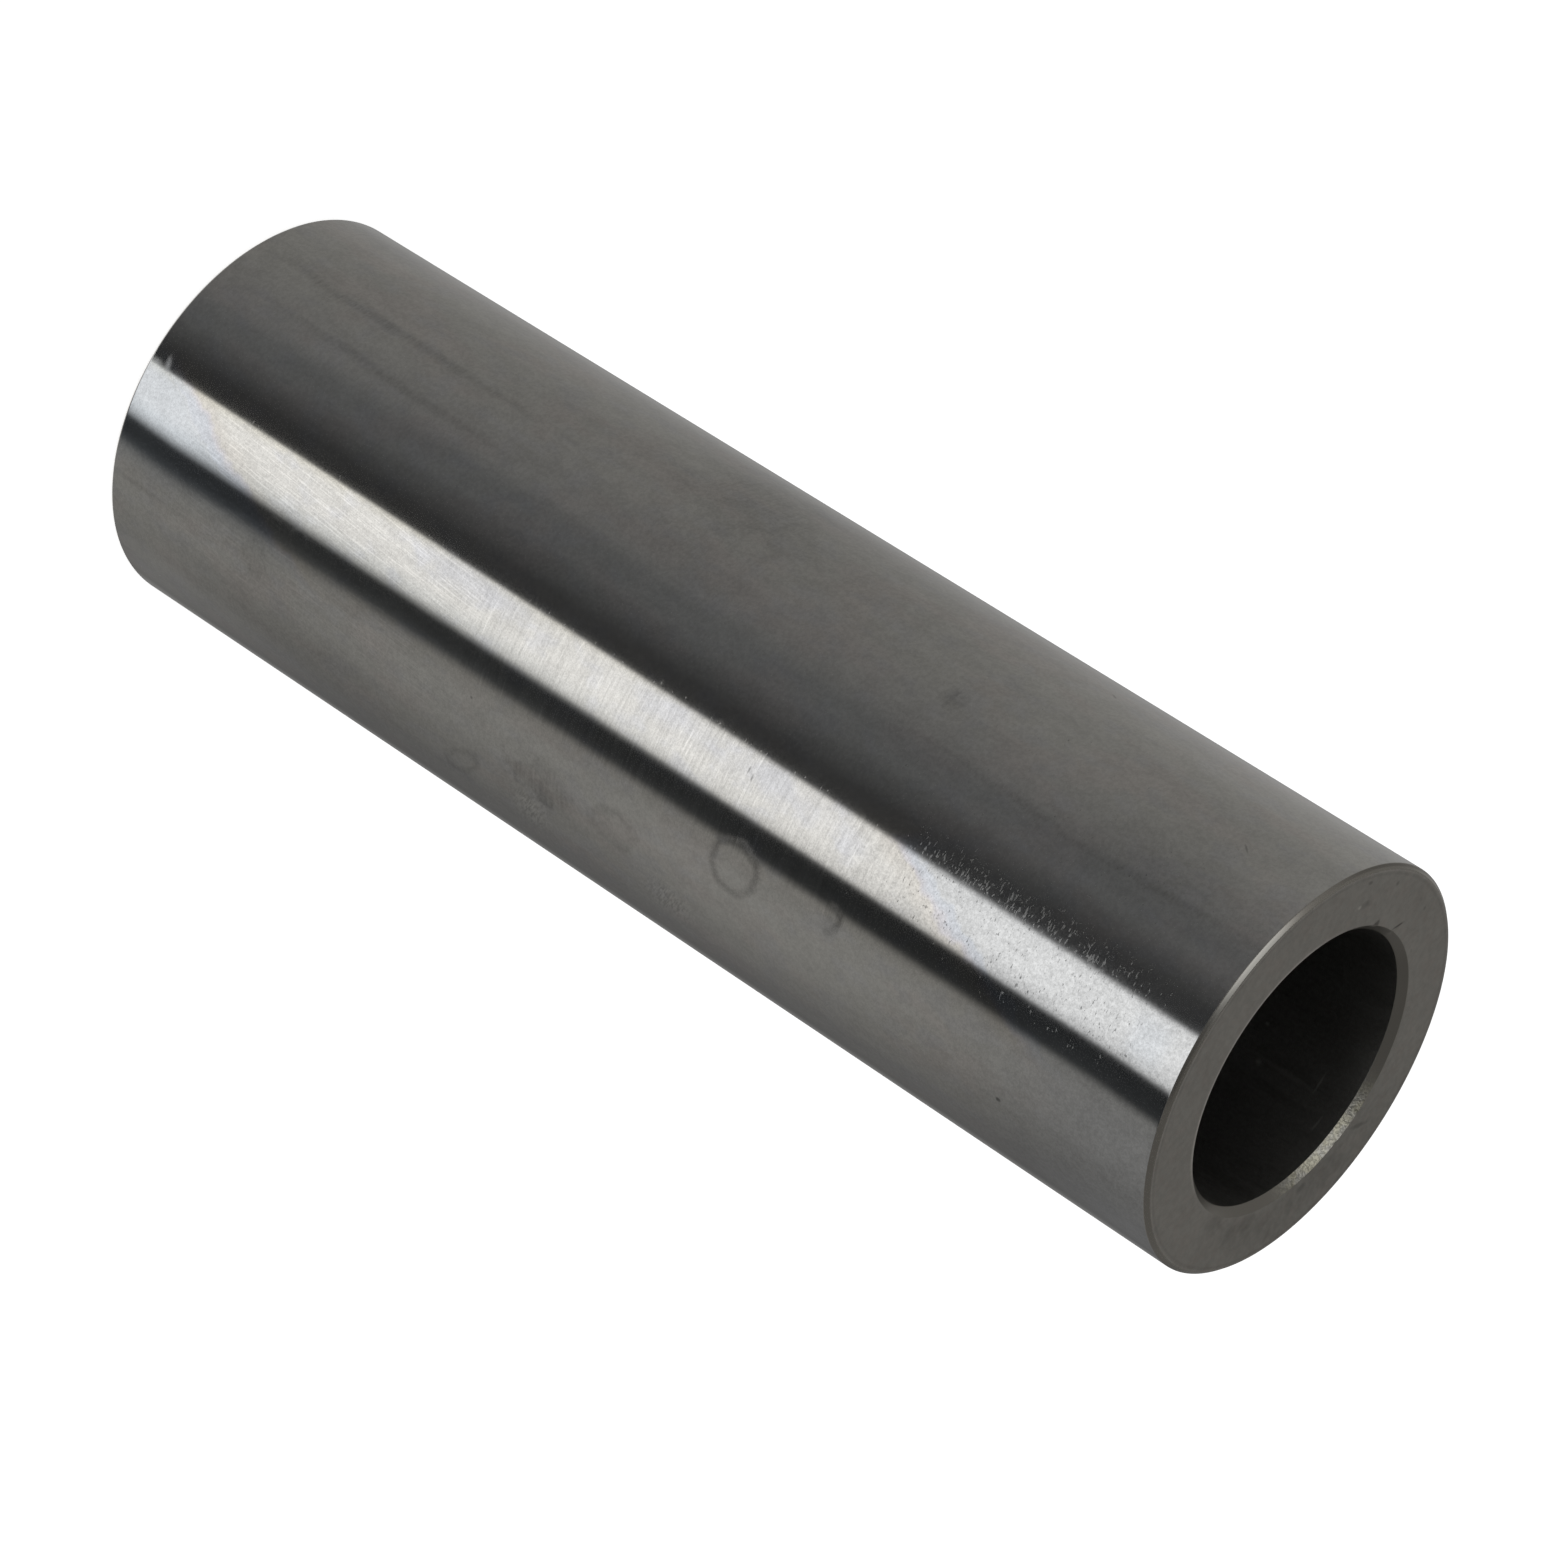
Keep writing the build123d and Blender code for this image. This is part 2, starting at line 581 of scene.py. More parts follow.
def effect_streaks():
    """Noise drawn out by the three sizes of its grain, as a mask that rises between Low and High."""
    graph, given, result = new_tree(
        "Streaks",
        {"Point": (0, 0, 0), "Grain": (1, 1, 1), "Detail": 2.0, "Low": 0.35, "High": 0.65, "Seed": 0.0},
        {"Mask": NUMBER},
    )
    drawn_out = graph.vector("DIVIDE", given["Point"], given["Grain"])
    noise = graph.add(
        "ShaderNodeTexNoise",
        {
            "Vector": drawn_out, "W": given["Seed"], "Scale": 1.0,
            "Detail": given["Detail"], "Roughness": 0.55,
        },
        noise_dimensions="4D",
    )
    graph.feed(result["Mask"], graph.between(noise.outputs[0], given["Low"], given["High"]))


def effect_specks():
    """Small ragged pits: the peaks of a fine noise, the more of them the larger Share is."""
    inputs = {"Point": (0, 0, 0), "Grain": (1, 1, 1), "Share": 0.3}
    graph, given, result = new_tree("Specks", inputs, {"Mask": NUMBER})
    scaled_point = graph.vector("DIVIDE", given["Point"], given["Grain"])
    noise = graph.add("ShaderNodeTexNoise", {"Vector": scaled_point, "Scale": 1.0, "Detail": 1.0}).outputs[0]
    lowest_peak = graph.between(given["Share"], 0.0, 1.0, 0.82, 0.50, smooth=False)
    graph.feed(result["Mask"], graph.between(noise, lowest_peak, graph.plus(lowest_peak, 0.08)))


def effect_span():
    """Mask of the values between two borders, each of which fades."""
    inputs = {"Value": 0.0, "Low": -10.0, "High": 10.0, "Fade": 3.0}
    graph, given, result = new_tree("Span", inputs, {"Mask": NUMBER})
    value, low, high, fade = (given[label] for label in inputs)
    into = graph.between(value, graph.minus(low, fade), graph.plus(low, fade))
    out_of = graph.between(value, graph.minus(high, fade), graph.plus(high, fade), 1.0, 0.0)
    graph.feed(result["Mask"], graph.times(into, out_of))


def effect_mark():
    """One oval mark round a place on the pin: a filled blot, and the ring that its rim would dry to."""
    inputs = dict.fromkeys(("Bearing", "Height", "Radius", "Waver", "Sway"), 0.0)
    inputs.update(by_label(Mark(0.0, 0.0, 1.0, 1.0, 1.0), MARK_INPUTS))
    graph, given, result = new_tree("Mark", inputs, {"Blot": NUMBER, "Ring": NUMBER})
    turned = graph.maths("WRAP", graph.minus(given["Bearing"], given["At Bearing"]), 180.0, -180.0)
    along = graph.minus(given["Height"], given["At Height"])
    straight_round = graph.times_plus(graph.maths("RADIANS", turned), given["Radius"], given["Sway"])
    leaning_round = graph.minus(straight_round, graph.times(along, given["Lean"]))
    offset_round = graph.maths("DIVIDE", leaning_round, given["Half Round"])
    offset_along = graph.maths("DIVIDE", along, given["Half Along"])
    distance = graph.vector("LENGTH", graph.joined(offset_round, offset_along))
    distance = graph.times_plus(given["Waver"], given["Wobble"], distance)
    inner = graph.minus(1.0, given["Softness"])
    outer = graph.plus(1.0, given["Softness"])
    graph.feed(result["Blot"], graph.between(distance, inner, outer, 1.0, 0.0))
    ring = graph.between(graph.apart(distance, 1.0), 0.0, given["Softness"], 1.0, 0.0)
    to_open_side = graph.times(offset_along, given["Open Along"])
    graph.feed(result["Ring"], graph.times(ring, graph.between(to_open_side, 0.0, 0.7, 1.0, 0.0)))


EFFECTS = (effect_places, effect_streaks, effect_specks, effect_span, effect_mark)


# Finishes


class Finish(Graph):
    """A bare metal material in the making, whose points know their places on the pin."""

    def __init__(self, name):
        self.material = bpy.data.materials.new(name)
        self.material.use_nodes = True
        super().__init__(self.material.node_tree)
        self.shader = self.tree.nodes["Principled BSDF"].inputs
        self.shader["Metallic"].default_value = 1.0
        point = self.add("ShaderNodeTexCoord").outputs["Object"]
        self.places = self.group("Places on the pin", {"Point": point}).outputs

    def marks(self, listed, part="Blot", radius=OUTER_MM, level="Height"):
        """The light that the listed marks take together."""
        total = 0.0
        for mark in listed:
            feeds = by_label(mark, MARK_INPUTS)
            feeds.update({"Bearing": self.places["Bearing"], "Height": self.places[level], "Radius": radius})
            feeds["Waver"] = self.places["Waver"]
            feeds["Sway"] = self.places["Sway"] if mark.half_along > LONG_MARK else 0.0
            total = self.times_plus(self.group("Mark", feeds).outputs[part], mark.strength, total)
        return total

    def span(self, place, low, high, fade):
        feeds = {"Value": self.places[place], "Low": low, "High": high, "Fade": fade}
        return self.group("Span", feeds).outputs["Mask"]

    def patch(self, field):
        """Mask of a field."""
        across = self.span("Bearing", *field.bearings, field.fade_round)
        return self.times(across, self.span("Height", *field.heights, field.fade_along))

    def streaks(self, grain, seed, low=0.35, high=0.65, detail=2.0, point=None):
        """Mask of a noise with the sizes of its grain, in millimetres along the axes of its point."""
        point = self.places["Millimetres"] if point is None else point
        feeds = {"Point": point, "Grain": grain, "Seed": seed, "Low": low, "High": high, "Detail": detail}
        return self.group("Streaks", feeds).outputs["Mask"]

    def uneven(self, level, *grains):
        """A level made uneven by masks of grain that on the whole take as much as they give."""
        return self.gathered(level, *((self.minus(mask, 0.5), strength) for mask, strength in grains))

    def dressed(self, tint, lost, roughness, bumps=None, depth=0.0):
        """The material, with its tint darkened by the light that is lost, and with bumps if it has any."""
        kept = self.minus(1.0, lost)
        darkened = self.mixed(1.0, tint, self.joined(kept, kept, kept), blend="MULTIPLY")
        self.feed(self.shader["Base Color"], darkened)
        self.feed(self.shader["Roughness"], roughness)
        if bumps is not None:
            bump = self.add("ShaderNodeBump", {"Height": bumps, "Distance": depth, "Strength": 1.0})
            self.feed(self.shader["Normal"], bump.outputs["Normal"])
        return self.material


def oxide_tint(wall, look):
    """Straw oxide over the pin's middle, which ends in lilac and blue fringes towards the camera."""
    bearing, height = wall.places["Bearing"], wall.places["Height"]
    upper_border = wall.times_plus(wall.apart(bearing, 5.0), 0.36, 47.3)
    lower_border = wall.times_plus(bearing, 0.34, 0.1)
    inside = wall.maths("MINIMUM", wall.minus(upper_border, height), wall.minus(height, lower_border))
    depth = wall.times_plus(wall.places["Waver"], 3.0, inside)
    off_low_end = wall.between(height, 10.0, 20.0)
    clean = wall.mixed(off_low_end, look.low_colour, look.clean_colour)
    stops = ((0.06, look.clean_colour), *OXIDE_FRINGE)
    fringe = wall.ramp(wall.between(depth, -1.5, 4.5, smooth=False), stops)

    # The straw has faint brown and lilac clouds, and a cleaner upper end on the camera's right
    lilac = wall.streaks((1.1, 1.1, 1.8), seed=15.0, low=0.48, high=0.66)
    lilac = wall.times_plus(lilac, 0.6, wall.marks(LILAC_MARKS))
    browned = wall.streaks((2.0, 2.0, 5.0), seed=18.0, low=0.46, high=0.62)
    in_front = wall.patch(STRAW_FRONT)
    straw = wall.mixed(browned, look.wall_colour, BROWN_STRAW)
    straw = wall.mixed(in_front, straw, FRONT_STRAW)
    straw = wall.mixed(lilac, straw, LILAC)
    upper_end = wall.times(wall.between(height, 52.0, 62.0), wall.between(bearing, 14.0, 30.0))
    straw = wall.mixed(upper_end, straw, BLUE_GREY)
    clean = wall.mixed(wall.times(wall.patch(BLUED_END), 0.8), clean, look.low_colour)
    fringed = wall.mixed(wall.between(depth, -1.2, -0.6), clean, fringe)
    in_middle = wall.between(depth, 2.0, 4.5)
    return wall.mixed(in_front, straw, wall.mixed(in_middle, fringed, straw))


def finish_ground_wall(look):
    """Outer wall: ground and lapped, with grinding lines, hair scratches, pits, dried oil marks and broad
    tones, partly painted shade and light.
    """
    wall = Finish("ground_wall")
    bearing, height = wall.places["Bearing"], wall.places["Height"]
    round_wall = wall.times(bearing, math.radians(OUTER_MM))
    rings = wall.joined(round_wall, wall.times_plus(round_wall, GRINDING_SLANT, height))
    leaning = wall.joined(round_wall, wall.times_plus(round_wall, RIPPLE_SLANT, height))
    nearly_along = wall.joined(wall.times_plus(height, HAIR_SLANT, round_wall), height)

    # Lines of the grinding, ripples and hair scratches, each as strong as the field that it shows in
    ground = wall.patch(GROUND_LINES)
    grinding = wall.streaks((3.4, 0.15, 1.0), seed=1.0, low=0.36, high=0.64, point=rings)
    bright_lines = wall.streaks((1.8, 0.13, 1.0), seed=3.0, low=0.56, high=0.74, point=rings)
    ripples = wall.streaks((0.50, 0.14, 1.0), seed=2.0, low=0.42, high=0.60, point=leaning)
    ripple_share = wall.times(wall.larger(*(wall.patch(field) for field in RIPPLED)), 0.45)
    hairs = wall.streaks((0.075, 2.4, 1.0), seed=4.0, low=0.48, high=0.66, point=nearly_along)
    hair_share = wall.gathered(0.0, (wall.patch(HAIRS), -0.11), (wall.patch(BAND_HAIRS), -0.13))

    # Grain, from the drift of tone along the pin down to the finest
    drift = wall.streaks((1.3, 1.3, 10.0), seed=7.0, low=0.2, high=0.8, detail=3.0)
    clouds = wall.streaks((0.7, 0.7, 1.2), seed=8.0)
    mottle = wall.streaks((0.20, 0.20, 0.20), seed=9.0)
    grain = wall.streaks((0.08, 0.08, 0.07), seed=10.0)
    peel = wall.streaks((0.17, 0.17, 0.17), seed=17.0)
    mottle_share = wall.times_plus(ground, -0.03, 0.11)
    behind_band = wall.between(bearing, -10.0, 0.0, 0.075, 0.10)
    grain_share = wall.times_plus(wall.patch(LIGHT_BAND), 0.08, behind_band)

    # Fine pits, thickest in clumps where the band of the strip light ends
    clumps = wall.streaks((0.5, 0.5, 0.5), seed=14.0, low=0.3, high=0.7)
    pit_share = wall.times(wall.times(wall.patch(CLUMPED_PITS), clumps), 0.62)
    for field, most in PITTED:
        pit_share = wall.larger(wall.times(wall.patch(field), most), pit_share)
    pit_share = wall.times_plus(wall.patch(THICKEST_PITS), 0.16, pit_share)
    pit_share = wall.times(pit_share, wall.times_plus(clumps, 0.36, 0.82))
    speck_feeds = {"Point": wall.places["Millimetres"], "Grain": (0.22, 0.22, 0.085), "Share": pit_share}
    pitted = wall.group("Specks", speck_feeds).outputs["Mask"]

    dried = wall.marks(WALL_RINGS, "Ring")
    blots = wall.times(wall.marks(WALL_BLOTS), wall.times_plus(grinding, 0.7, 0.65))
    # Broad tones, partly painted shade and painted light, and the pits
    lost = wall.plus(wall.plus(dried, blots), wall.marks(WALL_TONES_AND_PAINTED_SHADES + WALL_PITS))
    bright_share = wall.times(ground, -0.24)
    lost = wall.gathered(lost, (bright_lines, bright_share), (hairs, hair_share), (pitted, 0.34))
    lost = wall.uneven(
        lost,
        (grinding, wall.times(ground, 0.15)), (ripples, ripple_share), (drift, 0.09), (clouds, 0.07),
        (mottle, mottle_share), (grain, grain_share), (peel, wall.times(wall.patch(PEELED), 0.15)),
    )

    # Pits, burrs and dried rims scatter the light
    worn = wall.times(wall.patch(THICK_PITS), clumps)
    roughness = wall.gathered(
        look.wall_roughness,
        (worn, 0.03), (pitted, 0.24), (wall.marks(WALL_BURRS), 0.8), (grain, 0.03), (dried, 0.6),
    )
    return wall.dressed(oxide_tint(wall, look), lost, roughness)


def finish_ground_end(look):
    """End faces: matt, with a fine even grain, darker spots, a painted highlight ring by the outer break and
    another along the inner edge.
    """
    end = Finish("ground_end")
    radius = end.places["Radius"]
    mottle = end.streaks((0.30, 0.30, 0.30), seed=11.0, low=0.2, high=0.8, detail=4.0)
    clouds = end.streaks((2.4, 2.4, 2.4), seed=12.0, low=0.25, high=0.75)
    grain = end.streaks((0.07, 0.07, 0.07), seed=13.0, low=0.2, high=0.8)
    browned = end.streaks((0.9, 0.9, 0.9), seed=16.0, low=0.42, high=0.70)
    lost = end.marks(END_MARKS, radius=END_MIDDLE, level="Radius")
    # A darker ring, and a painted highlight ring by the outer break
    for distance, half_width, strength in END_RING_AND_GLINT:
        ring = end.between(end.apart(radius, distance), 0.0, half_width, 1.0, 0.0)
        lost = end.times_plus(ring, strength, lost)
    # Painted highlight along the inner edge of an end, on its lit side
    inner_edge_glint = end.times(end.between(radius, *INNER_EDGE, 1.0, 0.0), end.patch(LIT_INNER_EDGE))
    lost = end.uneven(end.times_plus(inner_edge_glint, -0.75, lost), (mottle, 0.16), (clouds, 0.07))
    tint = end.mixed(browned, look.end_colour, BROWN_END)
    roughness = end.uneven(look.end_roughness, (mottle, 0.08))
    return end.dressed(tint, lost, roughness, bumps=grain, depth=0.003 * MM)


def finish_turned_break(look):
    """Edge breaks: turned smooth round the outside, with the tool's chatter in the bore's mouths, and
    painted highlights and painted shade.
    """
    edge = Finish("turned_break")
    radius = edge.places["Radius"]
    in_mouth = edge.between(radius, *PAST_MOUTH, 1.0, 0.0)
    # Painted highlight and painted yellow tint in the lit part of the mouth, with the tool's chatter
    mouth_highlight = edge.times(in_mouth, edge.marks(LIT_MOUTH, radius=MOUTH_MIDDLE, level="Radius"))
    chatter = edge.streaks((0.11, 0.11, 0.11), seed=21.0, low=0.40, high=0.62, detail=3.0)
    chatter = edge.times(chatter, mouth_highlight)
    yellow_highlight = edge.times(edge.streaks((0.6, 0.6, 0.6), seed=22.0, low=0.42, high=0.62), mouth_highlight)
    # Painted shade: the far side of the outer break, and a dark line by the wall there and in front
    far_side_shade = edge.patch(FAR_BREAK)
    # Painted highlight tint on the outer break, with painted shade towards the end face
    break_highlight = edge.patch(BREAK_HIGHLIGHT)
    dark_lined_sides = edge.larger(edge.patch(FRONT_BREAK), far_side_shade)
    painted_shade_by_wall = edge.times(dark_lined_sides, edge.between(radius, *WALL_SIDE))
    highlight_shade_by_face = edge.times(break_highlight, edge.between(radius, *FACE_SIDE, 1.0, 0.0))
    lost = edge.gathered(
        0.0,
        (in_mouth, 0.25), (mouth_highlight, -0.38), (chatter, 0.42),
        (painted_shade_by_wall, 0.30), (far_side_shade, 0.06), (highlight_shade_by_face, 0.15),
    )
    # Painted tints of the highlights
    tint = edge.mixed(break_highlight, look.break_colour, BREAK_HIGHLIGHT_TINT)
    tint = edge.mixed(mouth_highlight, tint, MOUTH_HIGHLIGHT_TINT)
    tint = edge.mixed(yellow_highlight, tint, YELLOW_HIGHLIGHT_TINT)
    roughness = edge.gathered(look.break_roughness, (in_mouth, 0.06), (chatter, -0.05))
    return edge.dressed(tint, lost, roughness, bumps=chatter, depth=0.005 * MM)


def finish_drawn_bore(look):
    """Bore: dark and dull, with faint draw marks along it."""
    bore = Finish("drawn_bore")
    drawn = bore.streaks((0.5, 0.5, 6.0), seed=31.0)
    grain = bore.streaks((0.16, 0.16, 0.2), seed=32.0, low=0.2, high=0.8)
    lost = bore.uneven(bore.marks(BORE_MARKS, radius=BORE_MM), (drawn, 0.12), (grain, 0.20))
    roughness = bore.uneven(look.bore_roughness, (drawn, 0.06))
    return bore.dressed(look.bore_colour, lost, roughness, bumps=grain, depth=0.003 * MM)


# The turned pin

FINISHES = {
    "Wall": finish_ground_wall, "Ends": finish_ground_end,
    "Breaks": finish_turned_break, "Bore": finish_drawn_bore,
}
# Nicks in the rims: bearing, radius, height, size and depth, the last four in millimetres
RIM_NICKS = (
    (-75.0, 7.10, 64.0, 0.22, 0.06),
    (-91.0, 7.12, 64.0, 0.26, 0.06),
    (-61.0, 9.30, 64.0, 0.16, 0.03),
    (-60.0, 8.10, 64.0, 0.16, 0.03),
    (178.5, 7.08, 64.0, 0.14, 0.03),
    (165.4, 7.12, 64.0, 0.12, 0.02),
    (143.0, 7.12, 64.0, 0.14, 0.02),
)
# A face stands upright on the walls, lies level on the ends, and leans between the two on the breaks
MOST_UPRIGHT_LEAN, LEAST_LEVEL_LEAN = 0.38, 0.92


def nick_depth(graph):
    """How far each point of the mesh is pressed in by the nicks near it."""
    position = graph.geometry("InputPosition")
    total = 0.0
    for bearing, radius, height, size, depth in RIM_NICKS:
        turn = math.radians(bearing)
        centre = Vector((radius * math.sin(turn), -radius * math.cos(turn), height)) * MM
        distance = graph.vector("DISTANCE", position, centre)
        total = graph.plus(graph.between(distance, 0.0, size * MM, depth * MM, 0.0), total)
    return total


def turned_pin_tree(sizes):
    """Half section of the wall, broken and rounded at its corners and turned round the pin's axis."""
    inputs = {"Geometry": SHAPE, **sizes, **dict.fromkeys(FINISHES, MATERIAL)}
    graph, given, result = new_tree("Turned pin", inputs, {"Geometry": SHAPE}, kind="GeometryNodeTree")

    # The section lies in a plane where x is the distance out from the bore's wall and -y is the height
    wall = graph.minus(given["Outer Radius"], given["Bore Radius"])
    top = graph.times(given["Length"], -1.0)
    section = graph.geometry(
        "CurvePrimitiveQuadrilateral",
        {
            "Point 1": (0, 0, 0),
            "Point 2": graph.joined(wall, 0.0),
            "Point 3": graph.joined(wall, top),
            "Point 4": graph.joined(0.0, top),
        },
        mode="POINTS",
    )
    from_bore, _, _ = graph.split(graph.geometry("InputPosition"))
    is_outer = graph.maths("GREATER_THAN", from_bore, graph.times(wall, 0.5))

    legs = graph.mixed(is_outer, given["Bore Break"], given["Outer Break"], kind="FLOAT")
    broken = graph.geometry("FilletCurve", {"Curve": section, "Count": 1, "Radius": legs}, mode="POLY")
    rounding = graph.mixed(is_outer, given["Bore Rounding"], given["Outer Rounding"], kind="FLOAT")
    rounded = graph.geometry("FilletCurve", {"Curve": broken, "Count": 4, "Radius": rounding}, mode="POLY")

    # Long lines of the section are cut, so that every ring of the mesh can carry a nick
    here = graph.geometry("InputPosition")
    next_point = graph.add("GeometryNodeOffsetPointInCurve", {"Offset": 1}).outputs["Point Index"]
    feeds = {"Geometry": rounded, "Value": here, "Index": next_point}
    there = graph.geometry("SampleIndex", feeds, data_type="FLOAT_VECTOR", domain="POINT")
    step = graph.vector("DISTANCE", here, there)
    cuts = graph.maths("FLOOR", graph.maths("DIVIDE", step, given["Ring Spacing"]))
    cuts = graph.maths("MINIMUM", cuts, given["Most Cuts"])
    cut = graph.geometry("SubdivideCurve", {"Curve": rounded, "Cuts": cuts})

    # The section is swept round the bore's circle, and the faces are flipped to point outward
    path_feeds = {"Resolution": given["Facets"], "Radius": given["Bore Radius"]}
    path = graph.geometry("CurvePrimitiveCircle", path_feeds, mode="RADIUS")
    upright = graph.geometry("SetCurveNormal", {"Curve": path}, mode="Z_UP")
    swept = graph.geometry("CurveToMesh", {"Curve": upright, "Profile Curve": cut})
    turned = graph.geometry("FlipFaces", {"Mesh": swept})

    inward = graph.scaled(graph.geometry("InputNormal"), graph.times(nick_depth(graph), -1.0))
    nicked = graph.geometry("SetPosition", {"Geometry": turned, "Offset": inward})
    smooth = graph.geometry("SetShadeSmooth", {"Geometry": nicked})
    shape = graph.geometry("RealizeInstances", {"Geometry": smooth})

    # Each surface is told by how its faces lean and on which side of the wall they are
    lean = graph.maths("ABSOLUTE", graph.split(graph.geometry("InputNormal"))[2])
    x, y, _ = graph.split(graph.geometry("InputPosition"))
    radius = graph.vector("LENGTH", graph.joined(x, y))
    middle = graph.times(graph.plus(given["Outer Radius"], given["Bore Radius"]), 0.5)
    upright_face = graph.maths("LESS_THAN", lean, MOST_UPRIGHT_LEAN)
    level_face = graph.maths("GREATER_THAN", lean, LEAST_LEVEL_LEAN)
    outside = graph.times(upright_face, graph.maths("GREATER_THAN", radius, middle))
    inside = graph.times(upright_face, graph.maths("LESS_THAN", radius, middle))
    for label, chosen in (("Breaks", True), ("Ends", level_face), ("Wall", outside), ("Bore", inside)):
        feeds = {"Geometry": shape, "Selection": chosen, "Material": given[label]}
        shape = graph.geometry("SetMaterial", feeds)
    graph.feed(result["Geometry"], shape)
    return graph.tree


def plain_mesh_object(name, host):
    """The evaluated host as an object of its own, a plain mesh at the origin, with the host gone."""
    evaluated = host.evaluated_get(bpy.context.evaluated_depsgraph_get())
    mesh = bpy.data.meshes.new_from_object(evaluated)
    bpy.data.objects.remove(host)
    mesh.name = name
    piece = bpy.data.objects.new(name, mesh)
    bpy.context.scene.collection.objects.link(piece)
    return piece


class GUDGEON_OT_turn_pin(bpy.types.Operator):
    """Turn the pin from its section, finish its surfaces and put it in the place of the CAD node"""

    bl_idname = "gudgeon.turn_pin"
    bl_label = "Turn the Pin"

    def execute(self, context):
        sizes = by_label(context.scene.gudgeon_sizes, PinSizes.__annotations__)
        for make in EFFECTS:
            make()
        tree = turned_pin_tree(sizes)
        host = bpy.data.objects.new("pin_blank", bpy.data.meshes.new("pin_blank"))
        context.scene.collection.objects.link(host)
        turning = host.modifiers.new("Turn", "NODES")
        turning.node_group = tree
        finishes = {label: finish(context.scene.gudgeon_finish) for label, finish in FINISHES.items()}
        values = {**sizes, **finishes}
        for socket in tree.interface.items_tree:
            if socket.in_out == "INPUT" and socket.name in values:
                turning[socket.identifier] = values[socket.name]
        shading = host.modifiers.new("Even shading", "WEIGHTED_NORMAL")
        shading.weight = 100
        piece = plain_mesh_object("ground_gudgeon_pin", host)
        if not piece.data.polygons:
            raise RuntimeError("the pin's section gave no mesh")
        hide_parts(NODE)
        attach(piece, "root")
        return {"FINISHED"}


# The stage

# The tent round the pin, a panel at a time: its tint, and its brightness as a share of the strip light's at
# degrees round the pin, from behind it by way of +X. It changes straight from each place to the next.
GREY_CLOTH = (0.985, 1.0, 1.01)
PALE_CLOTH = (1.0, 0.991, 0.975)
CREAM_CLOTH = (1.0, 0.984, 0.940)
BLACK_CLOTH = (0.95, 1.0, 1.04)
SOOT_CLOTH = (0.99, 1.0, 1.02)
WHITE_CLOTH = (1.0, 1.0, 1.0)
COOL_CLOTH = (0.975, 0.995, 1.005)
WARM_CLOTH = (1.0, 0.985, 0.92)
LEFT_PANELS = (
    (PALE_CLOTH, ((16, 0.128), (24, 0.089), (44, 0.120))),
    (CREAM_CLOTH, ((68, 0.170), (92, 0.226), (104, 0.235))),
)
# The strip light and the black cloth beside it, then the same lower down, where their borders are softer
STRIP = (
    (CREAM_CLOTH, ((117, 0.210),)),
    (BLACK_CLOTH, ((121.7, 0.032), (126, 0.026), (136.1, 0.018))),
    (WHITE_CLOTH, ((138.3, 0.71), (142, 0.86), (148, 0.96), (160, 0.95), (166.9, 0.91))),
    (SOOT_CLOTH, ((167.9, 0.047), (173, 0.038), (180, 0.042))),
)
LOW_STRIP = (
    (CREAM_CLOTH, ((112, 0.218), (116.5, 0.182))),
    (BLACK_CLOTH, ((122, 0.056), (126, 0.034), (134.0, 0.026))),
    (COOL_CLOTH, ((138.9, 0.60), (142.5, 0.80))),
    (WHITE_CLOTH, ((148, 0.92), (156, 0.965), (163, 0.95))),
    (WARM_CLOTH, ((167.6, 0.97),)),
    (SOOT_CLOTH, ((168.6, 0.037), (173, 0.033), (180, 0.038))),
)
RIGHT_PANELS = (
    (GREY_CLOTH, ((192, 0.077), (200, 0.104), (212, 0.109))),
    (PALE_CLOTH, ((222, 0.142),)),
    (CREAM_CLOTH, ((256, 0.181), (280, 0.188), (300, 0.213))),
    (PALE_CLOTH, ((340, 0.242),)),
)
STRIP_SOFT, STRIP_SHARP = math.radians(-36), math.radians(-28)
TENT_ROOF = ((CREAM_CLOTH, ((0, 0.143), (50, 0.100), (150, 0.085), (260, 0.143))),)
ROOF_STARTS, ROOF_COMPLETE = math.radians(2), math.radians(14)
FLOOR_STARTS, FLOOR_COMPLETE = math.radians(-44), math.radians(-50)
OVERHEAD_DIRECTION = Vector((-0.409, -0.396, 0.822)).normalized()
OVERHEAD_CORE, OVERHEAD_EDGE = math.radians(12), math.radians(23)
TENT_RADIUS = 0.9
TABLE_RADIUS = 3.0
# The lit table's brightness behind the pin, as a share of the strip light's, and how far behind it starts
FLOOR_GLOW = 0.55
FLOOR_BEHIND = (0.1, 0.3)


def round_ramp(graph, turn, panels):
    """Colour of the cloth by the share of a full turn, closed from the last place to the first."""
    stops = [(angle / 360, Vector(tint) * light) for tint, places in panels for angle, light in places]
    behind = (stops[0][1] + stops[-1][1]) / 2
    return graph.ramp(turn, [(0.0, behind), *(stop for stop in stops if stop[0] > 0), (1.0, behind)])


